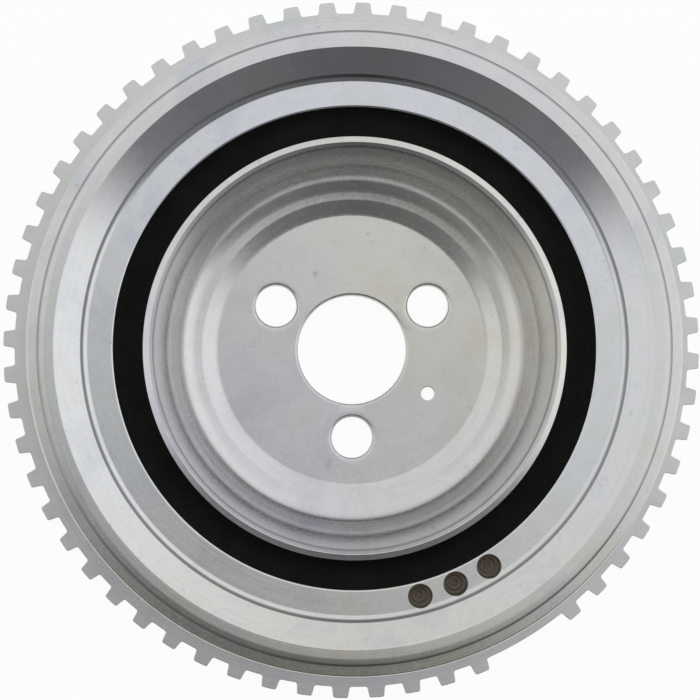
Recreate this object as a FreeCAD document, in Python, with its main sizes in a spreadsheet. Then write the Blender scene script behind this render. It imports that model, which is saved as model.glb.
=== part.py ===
import FreeCAD, Part

import math
import os

import Sketcher

# Crankshaft pulley with a torsional vibration damper, in millimetres.
# The axis is Z and the face that is seen from the front of the engine looks towards +Z.
# The origin is on the axis, in the mounting face of the hub.
# A drawn steel hub carries a bonded rubber ring, the rubber carries a turned rim with the
# belt grooves, and a stamped tone wheel is pressed on the rim's rear spigot.

# Driving dimensions. Radii are from the axis, heights along it, angles in degrees. From the web
# outwards each ring is given by its own width, so that the next one starts where it ends.
SIZES = {
    # Hub: a dish drawn from sheet, with a turned lip
    "bore_radius": 12.0,
    "bore_chamfer": 0.4,
    "punched_edge_radius": 0.7,
    "largest_share_of_land": 0.45,
    "web_thickness": 4.0,
    "web_radius": 30.2,
    "web_bend_radius": 2.5,
    "step_width": 3.1,
    "step_rise": 1.1,
    "ledge_bend_radius": 1.2,
    "ledge_width": 4.2,
    "ledge_rise": 0.3,
    "bowl_radius": 5.0,
    "lower_wall_width": 3.3665,
    "lower_wall_slope": 60.0,
    "knee_radius": 12.0,
    "rear_corner_rounding": 10.9,
    "wall_inner_draft": 10.3,
    "wall_outer_draft": 3.9,
    "lip_width": 2.1,
    "lip_chamfer": 0.75,
    "lip_crest_rounding": 0.2,
    "lip_fall": 0.45,
    "lip_edge_radius": 0.2,
    "lip_recess": 1.8,
    # Bolt holes and locating hole in the hub's web
    "bolt_hole_radius": 4.5,
    "bolt_hole_count": 3,
    "bolt_circle_radius": 19.5,
    "bolt_first_angle": 30.0,
    "locating_hole_radius": 1.5,
    "locating_hole_angle": -30.0,
    # Rubber ring between the hub and the rim
    "rubber_width": 6.3,
    "rubber_height": 13.4,
    "rubber_front_recess": 2.7,
    "rubber_dip": 1.3,
    "rubber_dip_radius": 6.0,
    # Rim: dished front face, from the bore outwards
    "rim_bore_chamfer": 0.4,
    "rim_bore_edge_radius": 0.5,
    "inner_land_width": 6.15,
    "inner_land_fillet": 1.4,
    "cone_step_width": 1.0,
    "cone_step_slope": 43.0,
    "cone_width": 5.7,
    "cone_angle": 25.0,
    "crest_edge_radius": 0.4,
    "outer_land_width": 3.6,
    "outer_land_rise": 1.4,
    "outer_land_chamfer_width": 0.4,
    "outer_land_chamfer_drop": 0.26,
    "flange_face_width": 2.4,
    "flange_edge_radius": 0.4,
    # Rim: ribbed belt seat between its flanges
    "front_flange_width": 1.94,
    "rear_flange_width": 1.8,
    "flange_height": 1.9,
    "belt_groove_count": 6,
    "belt_pitch": 3.56,
    "belt_groove_angle": 40.0,
    "rib_tip_width": 0.7,
    "rib_chamfer": 0.15,
    "groove_root_width": 0.8,
    "groove_root_edge_radius": 0.25,
    # Balance drillings in the rim's inner land
    "balance_hole_radius": 2.7,
    "balance_hole_depth": 6.0,
    "balance_hole_point_angle": 118.0,
    "balance_hole_count": 3,
    "balance_hole_setback": 3.25,
    "balance_first_angle": -75.2,
    "balance_angle_step": 8.4,
    # Tone wheel: stamped ring with sixty tooth places, two of them left out
    "spigot_depth": 5.2,
    "spigot_chamfer": 0.4,
    "wheel_thickness": 3.0,
    "wheel_inset": 0.5,
    "wheel_margin": 3.8,
    "tooth_height": 2.5,
    "tooth_places": 60,
    "missing_teeth": 2,
    "tooth_first_angle": -49.87,
    "tooth_tip_width": 3.3,
    "tooth_root_width": 4.05,
    "tooth_tip_corner_radius": 0.5,
    "tooth_root_corner_radius": 0.5,
    "tooth_root_sink": 0.15,
}

# Places worked out from the driving dimensions, as cell formulas
WORKED = {
    # Heights of the rim, from the rear face to the front
    "shoulder_height": "=sizes.wheel_inset + sizes.wheel_thickness",
    "belt_seat_start": "=shoulder_height + sizes.rear_flange_width",
    "belt_seat_end": "=belt_seat_start + sizes.belt_groove_count * sizes.belt_pitch",
    "flange_face_height": "=belt_seat_end + sizes.front_flange_width",
    "rim_height": "=flange_face_height + sizes.outer_land_rise",
    "cone_foot_height": "=rim_height - sizes.cone_width * tan(sizes.cone_angle)",
    "inner_land_height": "=cone_foot_height - sizes.cone_step_width * tan(sizes.cone_step_slope)",
    # Hub, whose lip stands below the rim's front
    "bolt_land_width": "=sizes.bolt_circle_radius - sizes.bolt_hole_radius - sizes.bore_radius",
    "punched_rounding": "=min(sizes.punched_edge_radius; bolt_land_width * sizes.largest_share_of_land)",
    "hub_height": "=rim_height - sizes.lip_recess",
    "ledge_radius": "=sizes.web_radius + sizes.step_width",
    "ledge_height": "=sizes.web_thickness + sizes.step_rise",
    "bowl_corner_radius": "=ledge_radius + sizes.ledge_width",
    "bowl_corner_height": "=ledge_height + sizes.ledge_rise",
    "knee_corner_radius": "=bowl_corner_radius + sizes.lower_wall_width",
    "knee_corner_height": "=bowl_corner_height + sizes.lower_wall_width * tan(sizes.lower_wall_slope)",
    "wall_height": "=hub_height - knee_corner_height",
    "lip_inner_radius": "=knee_corner_radius + wall_height * tan(sizes.wall_inner_draft)",
    "lip_foot_radius": "=lip_inner_radius - sizes.lip_chamfer * tan(sizes.wall_inner_draft)",
    "lip_crest_radius": "=lip_inner_radius + sizes.lip_chamfer",
    "lip_radius": "=lip_inner_radius + sizes.lip_width",
    "lip_edge_corner": "=lip_radius - sizes.lip_fall * tan(sizes.wall_outer_draft)",
    "wall_foot_radius": "=lip_radius - hub_height * tan(sizes.wall_outer_draft)",
    "step_slope": "=sizes.step_rise / sizes.step_width",
    "rear_bend_radius": "=sizes.web_radius + sizes.web_thickness * tan(atan(step_slope) / 2)",
    "rear_corner_height": "=(wall_foot_radius - rear_bend_radius) * step_slope"
                          " / (1 - step_slope * tan(sizes.wall_outer_draft))",
    "rear_corner_radius": "=wall_foot_radius + rear_corner_height * tan(sizes.wall_outer_draft)",
    # Rubber, seated on the hub's outer wall and in the rim's bore
    "rubber_front": "=hub_height - sizes.rubber_front_recess",
    "rubber_rear": "=rubber_front - sizes.rubber_height",
    "rubber_front_seat": "=wall_foot_radius + rubber_front * tan(sizes.wall_outer_draft)",
    "rubber_rear_seat": "=wall_foot_radius + rubber_rear * tan(sizes.wall_outer_draft)",
    "rubber_middle": "=(rubber_front_seat + lip_radius + sizes.rubber_width) / 2",
    # Radii of the rim, from the bore outwards
    "rim_bore_radius": "=lip_radius + sizes.rubber_width",
    "inner_land_radius": "=rim_bore_radius + sizes.inner_land_width",
    "cone_foot_radius": "=inner_land_radius + sizes.cone_step_width",
    "crest_radius": "=cone_foot_radius + sizes.cone_width",
    "outer_land_radius": "=crest_radius + sizes.outer_land_width",
    "flange_radius": "=outer_land_radius + sizes.flange_face_width",
    "rib_tip_radius": "=flange_radius - sizes.flange_height",
    "groove_flank_width": "=(sizes.belt_pitch - sizes.rib_tip_width - sizes.groove_root_width) / 2",
    "groove_root_radius": "=rib_tip_radius - groove_flank_width / tan(sizes.belt_groove_angle / 2)",
    "spigot_radius": "=flange_radius - sizes.spigot_depth",
    "balance_circle_radius": "=rim_bore_radius + sizes.balance_hole_setback",
    # Tone wheel
    "tooth_root_radius": "=flange_radius + sizes.wheel_margin",
    "tooth_tip_radius": "=tooth_root_radius + sizes.tooth_height",
    "tooth_pitch_angle": "=360 / sizes.tooth_places",
    "tooth_count": "=sizes.tooth_places - sizes.missing_teeth",
    "tooth_span_angle": "=(tooth_count - 1) * tooth_pitch_angle",
    "tooth_foot_radius": "=tooth_root_radius - sizes.tooth_root_sink",
    "tooth_foot_half_width": "=sizes.tooth_root_width / 2 + sizes.tooth_root_corner_radius",
}

SHARP = "0"
FULL_TURN = 360
TOLERANCE = 1e-4

# How a sketch numbers the points of an element, and its own first axis, which starts at the origin
START = 1
END = 2
CENTRE = 3
FIRST_AXIS = -1


def fill_sheet(document, label, cells):
    """Make a spreadsheet with one named cell in each row."""
    sheet = document.addObject("Spreadsheet::Sheet", label)
    for row, (name, content) in enumerate(cells.items(), 1):
        sheet.set(f"A{row}", name)
        sheet.set(f"B{row}", str(content))
        sheet.setAlias(f"B{row}", name)
    document.recompute()
    return sheet


def number(body, expression):
    """Give the value of an expression as a plain number."""
    value = body.evalExpression(expression)
    return float(getattr(value, "Value", value))


def add_body(document, label):
    """Make a body that is named for its sub-part."""
    body = document.addObject("PartDesign::Body", label)
    body.Label = label
    return body


def add_sketch(body, name, plane, height=None, turn=None):
    """Attach an empty sketch to one of the body's planes, raised and turned by expressions."""
    sketch = body.newObject("Sketcher::SketchObject", name)
    support = next(feature for feature in body.Origin.OriginFeatures if feature.Role == plane)
    sketch.AttachmentSupport = [(support, "")]
    sketch.MapMode = "FlatFace"
    if height:
        sketch.setExpression("AttachmentOffset.Base.z", height)
    if turn:
        sketch.setExpression("AttachmentOffset.Rotation.Angle", turn)
    return sketch


def bind(sketch, constraint, expression):
    """Add a dimension to a sketch and bind it to its expression."""
    index = sketch.addConstraint(constraint)
    sketch.setExpression(f"Constraints[{index}]", expression)


def bind_point(sketch, geometry, vertex, across, along, point):
    """Hold a point of a sketch at two expressions, measured from the sketch's origin."""
    bind(sketch, Sketcher.Constraint("DistanceX", FIRST_AXIS, START, geometry, vertex, point.x), across)
    bind(sketch, Sketcher.Constraint("DistanceY", FIRST_AXIS, START, geometry, vertex, point.y), along)


def corner_arc(before, corner, after, radius):
    """Work out the arc that rounds a corner: its two tangent points, its centre and its sense."""
    back = (before - corner).normalize()
    ahead = (after - corner).normalize()
    half_opening = back.getAngle(ahead) / 2
    reach = radius / math.tan(half_opening)
    bisector = (back + ahead).normalize()
    centre = corner + bisector * (radius / math.sin(half_opening))
    turns_left = back.cross(ahead).z < 0
    return corner + back * reach, corner + ahead * reach, centre, turns_left


def draw_outline(body, sketch, corners):
    """Draw a closed outline through corners given as (across, along, rounding) expressions.

    Each side is a line. A rounded corner is an arc that is tangent to both of its sides, and a
    construction point holds the corner that the sides would meet in.
    """
    points = [FreeCAD.Vector(number(body, across), number(body, along), 0) for across, along, _ in corners]
    radii = [number(body, rounding) for _, _, rounding in corners]
    count = len(corners)
    starts = list(points)
    ends = list(points)
    arcs = {}
    for index, radius in enumerate(radii):
        if radius > 0:
            arc = corner_arc(points[index - 1], points[index], points[(index + 1) % count], radius)
            ends[index], starts[index] = arc[0], arc[1]
            arcs[index] = arc
    for index in range(count):
        following = (index + 1) % count
        sketch.addGeometry(Part.LineSegment(starts[index], ends[following]), False)
    for index, (across, along, rounding) in enumerate(corners):
        side_before = (index - 1) % count
        if index not in arcs:
            sketch.addConstraint(Sketcher.Constraint("Coincident", side_before, END, index, START))
            bind_point(sketch, index, START, across, along, points[index])
            continue
        arrival, departure, centre, turns_left = arcs[index]
        first, last = (arrival, departure) if turns_left else (departure, arrival)
        angles = [math.atan2(end.y - centre.y, end.x - centre.x) for end in (first, last)]
        circle = Part.Circle(centre, FreeCAD.Vector(0, 0, 1), radii[index])
        arc = sketch.addGeometry(Part.ArcOfCircle(circle, *angles), False)
        corner = sketch.addGeometry(Part.Point(points[index]), True)
        arrival_end, departure_end = (START, END) if turns_left else (END, START)
        sketch.addConstraint([
            Sketcher.Constraint("Tangent", side_before, END, arc, arrival_end),
            Sketcher.Constraint("Tangent", arc, departure_end, index, START),
            Sketcher.Constraint("PointOnObject", corner, START, side_before),
            Sketcher.Constraint("PointOnObject", corner, START, index),
        ])
        bind(sketch, Sketcher.Constraint("Radius", arc, radii[index]), rounding)
        bind_point(sketch, corner, START, across, along, points[index])


def draw_circle(body, sketch, across, radius):
    """Draw a circle whose centre lies on the sketch's first axis."""
    centre = FreeCAD.Vector(number(body, across), 0, 0)
    circle = sketch.addGeometry(Part.Circle(centre, FreeCAD.Vector(0, 0, 1), number(body, radius)), False)
    sketch.addConstraint(Sketcher.Constraint("PointOnObject", circle, CENTRE, FIRST_AXIS))
    bind(sketch, Sketcher.Constraint("DistanceX", FIRST_AXIS, START, circle, CENTRE, centre.x), across)
    bind(sketch, Sketcher.Constraint("Radius", circle, number(body, radius)), radius)


def revolve(body, name, corners):
    """Turn a solid about Z from an outline of (radius, height, rounding) corners."""
    sketch = add_sketch(body, f"{name}_profile", "XZ_Plane")
    body.Document.recompute()
    draw_outline(body, sketch, corners)
    body.Document.recompute()
    revolution = body.newObject("PartDesign::Revolution", name)
    revolution.Profile = sketch
    revolution.ReferenceAxis = (sketch, ["V_Axis"])
    revolution.Angle = FULL_TURN
    body.Document.recompute()
    return revolution


def check_volume(feature, before, grows):
    """Stop if a feature that should add or remove material has done neither."""
    change = feature.Shape.Volume - before
    if change * (1 if grows else -1) <= TOLERANCE:
        raise ValueError(f"{feature.Label} changed the volume by {change:.4f}")


def drill_through(body, name, across, radius, turn):
    """Cut a hole through the web, drawn on the mounting face and cut towards +Z."""
    before = body.Shape.Volume
    sketch = add_sketch(body, f"{name}_circle", "XY_Plane", turn=turn)
    body.Document.recompute()
    draw_circle(body, sketch, across, radius)
    body.Document.recompute()
    pocket = body.newObject("PartDesign::Pocket", name)
    pocket.Profile = sketch
    pocket.Type = "ThroughAll"
    pocket.Reversed = True
    body.Document.recompute()
    check_volume(pocket, before, grows=False)
    return pocket


def repeat_about_axis(body, name, feature, angle, count, grows):
    """Repeat a feature about Z, with the copies spread over an angle."""
    before = body.Shape.Volume
    pattern = body.newObject("PartDesign::PolarPattern", name)
    pattern.Originals = [feature]
    pattern.Axis = (feature.Profile[0], ["N_Axis"])
    pattern.setExpression("Angle", angle)
    pattern.setExpression("Occurrences", count)
    body.Tip = pattern
    body.Document.recompute()
    check_volume(pattern, before, grows)
    return pattern


def round_edges(body, name, base, radius, height, rounding):
    """Round every circular edge that has the given radius and lies at the given height."""
    wanted_radius = number(body, radius)
    wanted_height = number(body, height)
    edges = []
    for index, edge in enumerate(base.Shape.Edges, 1):
        if not isinstance(edge.Curve, Part.Circle):
            continue
        same_radius = abs(edge.Curve.Radius - wanted_radius) < TOLERANCE
        if same_radius and abs(edge.Curve.Center.z - wanted_height) < TOLERANCE:
            edges.append(f"Edge{index}")
    fillet = body.newObject("PartDesign::Fillet", name)
    fillet.Base = (base, edges)
    fillet.setExpression("Radius", rounding)
    body.Tip = fillet
    body.Document.recompute()
    check_volume(fillet, base.Shape.Volume, grows=False)
    return fillet


def make_hub(document):
    """The drawn hub: a flat web, a step and ledge, a bowl, a wall that steepens, and a turned lip."""
    body = add_body(document, "hub")
    revolve(body, "hub_dish", [
        ("sizes.bore_radius + sizes.bore_chamfer", "0", SHARP),
        ("worked.rear_bend_radius", "0", "sizes.web_bend_radius"),
        ("worked.rear_corner_radius", "worked.rear_corner_height", "sizes.rear_corner_rounding"),
        ("worked.lip_edge_corner", "worked.hub_height - sizes.lip_fall", "sizes.lip_edge_radius"),
        ("worked.lip_crest_radius", "worked.hub_height", "sizes.lip_crest_rounding"),
        ("worked.lip_foot_radius", "worked.hub_height - sizes.lip_chamfer", SHARP),
        ("worked.knee_corner_radius", "worked.knee_corner_height", "sizes.knee_radius"),
        ("worked.bowl_corner_radius", "worked.bowl_corner_height", "sizes.bowl_radius"),
        ("worked.ledge_radius", "worked.ledge_height", "sizes.ledge_bend_radius"),
        ("sizes.web_radius", "sizes.web_thickness", "sizes.web_bend_radius"),
        ("sizes.bore_radius", "sizes.web_thickness", "worked.punched_rounding"),
        ("sizes.bore_radius", "sizes.bore_chamfer", SHARP),
    ])
    bolt_hole = drill_through(body, "bolt_hole", "sizes.bolt_circle_radius", "sizes.bolt_hole_radius",
                              "sizes.bolt_first_angle")
    repeat_about_axis(body, "bolt_holes", bolt_hole, str(FULL_TURN), "sizes.bolt_hole_count", grows=False)
    locating_hole = drill_through(body, "locating_hole", "sizes.bolt_circle_radius",
                                  "sizes.locating_hole_radius", "sizes.locating_hole_angle")
    round_edges(body, "punched_edges", locating_hole, "sizes.bolt_hole_radius", "sizes.web_thickness",
                "worked.punched_rounding")
    return body


def make_rubber(document):
    """The bonded rubber ring, seated on the hub's wall and in the rim's bore, with dished ends."""
    body = add_body(document, "damper_rubber")
    revolve(body, "rubber_ring", [
        ("worked.rubber_rear_seat", "worked.rubber_rear", SHARP),
        ("worked.rubber_middle", "worked.rubber_rear + sizes.rubber_dip", "sizes.rubber_dip_radius"),
        ("worked.rim_bore_radius", "worked.rubber_rear", SHARP),
        ("worked.rim_bore_radius", "worked.rubber_front", SHARP),
        ("worked.rubber_middle", "worked.rubber_front - sizes.rubber_dip", "sizes.rubber_dip_radius"),
        ("worked.rubber_front_seat", "worked.rubber_front", SHARP),
    ])
    return body


def make_rim(document):
    """The turned rim: rear spigot, flanged belt seat, dished front face and balance drillings."""
    body = add_body(document, "pulley_rim")
    revolve(body, "turned_ring", [
        ("worked.rim_bore_radius + sizes.rim_bore_chamfer", "0", SHARP),
        ("worked.spigot_radius - sizes.spigot_chamfer", "0", SHARP),
        ("worked.spigot_radius", "sizes.spigot_chamfer", SHARP),
        ("worked.spigot_radius", "worked.shoulder_height", SHARP),
        ("worked.flange_radius", "worked.shoulder_height", "sizes.flange_edge_radius"),
        ("worked.flange_radius", "worked.belt_seat_start", "sizes.flange_edge_radius"),
        ("worked.rib_tip_radius", "worked.belt_seat_start", SHARP),
        ("worked.rib_tip_radius", "worked.belt_seat_end", SHARP),
        ("worked.flange_radius", "worked.belt_seat_end", "sizes.flange_edge_radius"),
        ("worked.flange_radius", "worked.flange_face_height", "sizes.flange_edge_radius"),
        ("worked.outer_land_radius", "worked.flange_face_height", SHARP),
        ("worked.outer_land_radius", "worked.rim_height - sizes.outer_land_chamfer_drop", SHARP),
        ("worked.outer_land_radius - sizes.outer_land_chamfer_width", "worked.rim_height", SHARP),
        ("worked.crest_radius", "worked.rim_height", "sizes.crest_edge_radius"),
        ("worked.cone_foot_radius", "worked.cone_foot_height", SHARP),
        ("worked.inner_land_radius", "worked.inner_land_height", "sizes.inner_land_fillet"),
        ("worked.rim_bore_radius", "worked.inner_land_height", "sizes.rim_bore_edge_radius"),
        ("worked.rim_bore_radius", "sizes.rim_bore_chamfer", SHARP),
    ])
    cut_belt_grooves(body)
    hole = drill_balance_hole(body)
    repeat_about_axis(body, "balance_holes", hole,
                      "(sizes.balance_hole_count - 1) * sizes.balance_angle_step",
                      "sizes.balance_hole_count", grows=False)
    return body


def cut_belt_grooves(body):
    """Turn the first belt groove into the seat, with chamfered ribs, and repeat it along the axis."""
    before = body.Shape.Volume
    sketch = add_sketch(body, "belt_groove_profile", "XZ_Plane")
    body.Document.recompute()
    rear_edge = "worked.belt_seat_start + sizes.rib_tip_width / 2"
    root_start = f"{rear_edge} + worked.groove_flank_width"
    root_end = f"{root_start} + sizes.groove_root_width"
    front_edge = f"{root_end} + worked.groove_flank_width"
    chamfer_foot = "worked.rib_tip_radius - sizes.rib_chamfer"
    chamfer_run = "sizes.rib_chamfer * tan(sizes.belt_groove_angle / 2)"
    draw_outline(body, sketch, [
        ("worked.flange_radius", f"{rear_edge} - sizes.rib_chamfer", SHARP),
        ("worked.rib_tip_radius", f"{rear_edge} - sizes.rib_chamfer", SHARP),
        (chamfer_foot, f"{rear_edge} + {chamfer_run}", SHARP),
        ("worked.groove_root_radius", root_start, "sizes.groove_root_edge_radius"),
        ("worked.groove_root_radius", root_end, "sizes.groove_root_edge_radius"),
        (chamfer_foot, f"{front_edge} - {chamfer_run}", SHARP),
        ("worked.rib_tip_radius", f"{front_edge} + sizes.rib_chamfer", SHARP),
        ("worked.flange_radius", f"{front_edge} + sizes.rib_chamfer", SHARP),
    ])
    body.Document.recompute()
    groove = body.newObject("PartDesign::Groove", "belt_groove")
    groove.Profile = sketch
    groove.ReferenceAxis = (sketch, ["V_Axis"])
    groove.Angle = FULL_TURN
    body.Document.recompute()
    check_volume(groove, before, grows=False)
    pattern = body.newObject("PartDesign::LinearPattern", "belt_grooves")
    pattern.Originals = [groove]
    pattern.Direction = (sketch, ["V_Axis"])
    pattern.setExpression("Length", "(sizes.belt_groove_count - 1) * sizes.belt_pitch")
    pattern.setExpression("Occurrences", "sizes.belt_groove_count")
    body.Tip = pattern
    body.Document.recompute()
    check_volume(pattern, groove.Shape.Volume, grows=False)


def drill_balance_hole(body):
    """Drill the first blind balance hole down from the inner land, with a pointed bottom."""
    before = body.Shape.Volume
    sketch = add_sketch(body, "balance_circle", "XY_Plane", "worked.inner_land_height",
                        "sizes.balance_first_angle")
    body.Document.recompute()
    draw_circle(body, sketch, "worked.balance_circle_radius", "sizes.balance_hole_radius")
    body.Document.recompute()
    hole = body.newObject("PartDesign::Hole", "balance_hole")
    hole.Profile = sketch
    hole.DepthType = "Dimension"
    hole.DrillPoint = "Angled"
    hole.setExpression("Diameter", "2 * sizes.balance_hole_radius")
    hole.setExpression("Depth", "sizes.balance_hole_depth")
    hole.setExpression("DrillPointAngle", "sizes.balance_hole_point_angle")
    body.Document.recompute()
    check_volume(hole, before, grows=False)
    return hole


def make_tone_wheel(document):
    """The stamped tone wheel: a flat ring on the rim's spigot, with teeth and one wide gap."""
    body = add_body(document, "tone_wheel")
    wheel_front = "worked.shoulder_height"
    revolve(body, "wheel_ring", [
        ("worked.spigot_radius", "sizes.wheel_inset", SHARP),
        ("worked.tooth_root_radius", "sizes.wheel_inset", SHARP),
        ("worked.tooth_root_radius", wheel_front, SHARP),
        ("worked.spigot_radius", wheel_front, SHARP),
    ])
    before = body.Shape.Volume
    sketch = add_sketch(body, "tooth_outline", "XY_Plane", "sizes.wheel_inset", "sizes.tooth_first_angle")
    document.recompute()
    inside_ring = "(worked.spigot_radius + worked.tooth_root_radius) / 2"
    draw_outline(body, sketch, [
        (inside_ring, "-worked.tooth_foot_half_width", SHARP),
        ("worked.tooth_foot_radius", "-worked.tooth_foot_half_width", SHARP),
        ("worked.tooth_foot_radius", "-sizes.tooth_root_width / 2", "sizes.tooth_root_corner_radius"),
        ("worked.tooth_tip_radius", "-sizes.tooth_tip_width / 2", "sizes.tooth_tip_corner_radius"),
        ("worked.tooth_tip_radius", "sizes.tooth_tip_width / 2", "sizes.tooth_tip_corner_radius"),
        ("worked.tooth_foot_radius", "sizes.tooth_root_width / 2", "sizes.tooth_root_corner_radius"),
        ("worked.tooth_foot_radius", "worked.tooth_foot_half_width", SHARP),
        (inside_ring, "worked.tooth_foot_half_width", SHARP),
    ])
    document.recompute()
    tooth = body.newObject("PartDesign::Pad", "tooth")
    tooth.Profile = sketch
    tooth.setExpression("Length", "sizes.wheel_thickness")
    document.recompute()
    check_volume(tooth, before, grows=True)
    repeat_about_axis(body, "teeth", tooth, "worked.tooth_span_angle", "worked.tooth_count", grows=True)
    return body


def check_document(document):
    """Stop if any object failed, or if any sketch is left loose."""
    for item in document.Objects:
        if {"Invalid", "Error"} & set(item.State):
            raise ValueError(f"{item.Label} failed: {item.State}")
        if item.TypeId == "Sketcher::SketchObject" and item.DoF:
            raise ValueError(f"{item.Label} has {item.DoF} degrees of freedom")


def write_bodies(bodies):
    """Check each body's solid and write it under the body's name."""
    for body in bodies:
        if body.Shape.isNull() or not body.Shape.isValid():
            raise ValueError(f"{body.Label} has no valid shape")
    os.makedirs("parts", exist_ok=True)
    for body in bodies:
        body.Placement = FreeCAD.Placement()
        body.Shape.exportStep(f"parts/{body.Label}.step")
        box = body.Shape.BoundBox
        print(f"{body.Label}: {len(body.Shape.Solids)} solid, {body.Shape.Volume / 1000:.2f} cm3,"
              f" {box.XLength:.2f} x {box.YLength:.2f}, z {box.ZMin:.2f} to {box.ZMax:.2f}")


def main():
    """Build the document and write one file for each sub-part."""
    document = FreeCAD.newDocument("crankshaft_pulley")
    fill_sheet(document, "sizes", SIZES)
    fill_sheet(document, "worked", WORKED)
    bodies = [make_hub(document), make_rubber(document), make_rim(document), make_tone_wheel(document)]
    document.recompute()
    check_document(document)
    write_bodies(bodies)


main()
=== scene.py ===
"""Dresses the crankshaft pulley: a drawn hub, a bonded rubber ring, a turned rim and a toothed ring.

The four pieces lie on a table as they would rest: the axis is Z, the front faces up and the photograph's upper edge is
+Y. Sizes are in millimetres until a mesh is made, and in metres from there on. Angles are in degrees.
"""
import logging
import math
from dataclasses import dataclass
from enum import Enum

import bmesh
import bpy
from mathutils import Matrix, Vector


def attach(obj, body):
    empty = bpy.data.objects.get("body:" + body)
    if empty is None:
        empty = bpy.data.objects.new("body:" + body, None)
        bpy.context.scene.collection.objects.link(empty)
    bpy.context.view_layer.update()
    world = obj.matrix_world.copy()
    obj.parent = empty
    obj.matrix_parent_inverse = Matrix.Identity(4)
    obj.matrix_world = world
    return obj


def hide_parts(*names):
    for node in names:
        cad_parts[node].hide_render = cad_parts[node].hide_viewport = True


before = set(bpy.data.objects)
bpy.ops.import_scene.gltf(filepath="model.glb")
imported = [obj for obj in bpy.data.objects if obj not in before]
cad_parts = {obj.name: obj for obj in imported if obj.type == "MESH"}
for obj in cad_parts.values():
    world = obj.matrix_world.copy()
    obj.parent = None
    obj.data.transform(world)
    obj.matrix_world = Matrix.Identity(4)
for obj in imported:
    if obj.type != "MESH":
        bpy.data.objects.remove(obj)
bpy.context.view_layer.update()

LOG = logging.getLogger("crankshaft_pulley")

MM = 0.001
BODY = "root"

# A ring has this many facets round and is turned one sector at a time. A rounded corner's facets turn this much each
STEPS_ROUND = 360
SECTORS = 12
DEGREES_PER_FACET = 7.5
ROUND_THE_AXIS = {"center": (0, 0, 0), "axis": (0, 0, 1)}

# Vertices that lie closer than this, in metres, are one vertex, and so are those of two sectors that meet
WELD = 1e-6
SECTOR_WELD = 10 * WELD


class Slot(Enum):
    """The record's material slots."""

    DRAWN = "drawn_steel"
    RUBBER = "rubber"
    TURNED = "turned_steel"
    STAMPED = "stamped_steel"


# ---------------------------------------------------------------- small tools


def linear(hex_colour: str) -> tuple[float, float, float, float]:
    """Turns an sRGB hex colour into linear light.

    Args:
        hex_colour: Six hex digits with a leading #.

    Returns:
        Linear red, green, blue and an alpha of 1.
    """
    channels = [int(hex_colour[start:start + 2], 16) / 255 for start in (1, 3, 5)]
    lit = [c / 12.92 if c <= 0.04045 else ((c + 0.055) / 1.055) ** 2.4 for c in channels]
    return (lit[0], lit[1], lit[2], 1.0)


def add_node(
    tree: bpy.types.NodeTree,
    kind: str,
    inputs: dict[int | str, object] | None = None,
    stops: tuple[tuple[float, str], ...] = (),
    **fields: object,
) -> bpy.types.Node:
    """Adds a node with its settings and links.

    Args:
        tree: The tree that gets the node.
        kind: The node's type name.
        inputs: A value or another node's output for each input that is set.
        stops: Places and colours of a ramp.
        **fields: The node's own settings.

    Returns:
        The new node.
    """
    node = tree.nodes.new(kind)
    for name, value in fields.items():
        setattr(node, name, value)
    for name, value in (inputs or {}).items():
        if isinstance(value, bpy.types.NodeSocket):
            tree.links.new(value, node.inputs[name])
        else:
            node.inputs[name].default_value = value
    for index, (place, colour) in enumerate(stops):
        elements = node.color_ramp.elements
        stop = elements[index] if index < len(elements) else elements.new(place)
        stop.position = place
        stop.color = linear(colour)
    return node


def deselect_all() -> None:
    """Leaves nothing selected, in object mode."""
    if bpy.context.object and bpy.context.object.mode != "OBJECT":
        bpy.ops.object.mode_set(mode="OBJECT")
    bpy.ops.object.select_all(action="DESELECT")


def select_whole() -> None:
    """Selects the whole mesh, in edit mode."""
    bpy.ops.mesh.select_all(action="SELECT")


def activate(piece: bpy.types.Object) -> None:
    """Selects one object alone and makes it the active one.

    Args:
        piece: The object.
    """
    deselect_all()
    piece.select_set(True)
    bpy.context.view_layer.objects.active = piece


def apply_modifier(piece: bpy.types.Object, kind: str, **fields: object) -> None:
    """Adds a modifier to a piece, sets it up and applies it.

    Args:
        piece: The piece that it changes.
        kind: The modifier's type.
        **fields: The modifier's settings.
    """
    activate(piece)
    modifier = piece.modifiers.new(kind.title(), kind)
    for name, value in fields.items():
        setattr(modifier, name, value)
    bpy.ops.object.modifier_apply(modifier=modifier.name)


# ---------------------------------------------------------------- turning and stamping


@dataclass(frozen=True)
class Corner:
    """A corner of a drawn outline, in millimetres, with the radius that rounds it off."""

    across: float
    along: float
    rounding: float = 0.0


def start_outline(name: str, first: Vector) -> bpy.types.Object:
    """Starts a mesh in edit mode that holds one vertex.

    Args:
        name: The new object's name.
        first: The vertex's place, in metres.

    Returns:
        The new object, in edit mode with the vertex selected.
    """
    deselect_all()
    bpy.ops.mesh.primitive_plane_add(size=MM)
    piece = bpy.context.object
    piece.name = name
    piece.data.name = name
    bpy.ops.object.mode_set(mode="EDIT")
    bpy.ops.mesh.merge(type="CENTER")
    bpy.ops.transform.translate(value=first)
    return piece


def trace_outline(name: str, places: list[Vector]) -> bpy.types.Object:
    """Extrudes a vertex from place to place and fills the closed outline with one face.

    Args:
        name: The new object's name.
        places: The outline's corners in order, in metres.

    Returns:
        The new object, in edit mode.
    """
    piece = start_outline(name, places[0])
    for here, there in zip(places, places[1:]):
        bpy.ops.mesh.extrude_vertices_move(TRANSFORM_OT_translate={"value": there - here})
    select_whole()
    bpy.ops.mesh.edge_face_add()
    return piece


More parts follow.
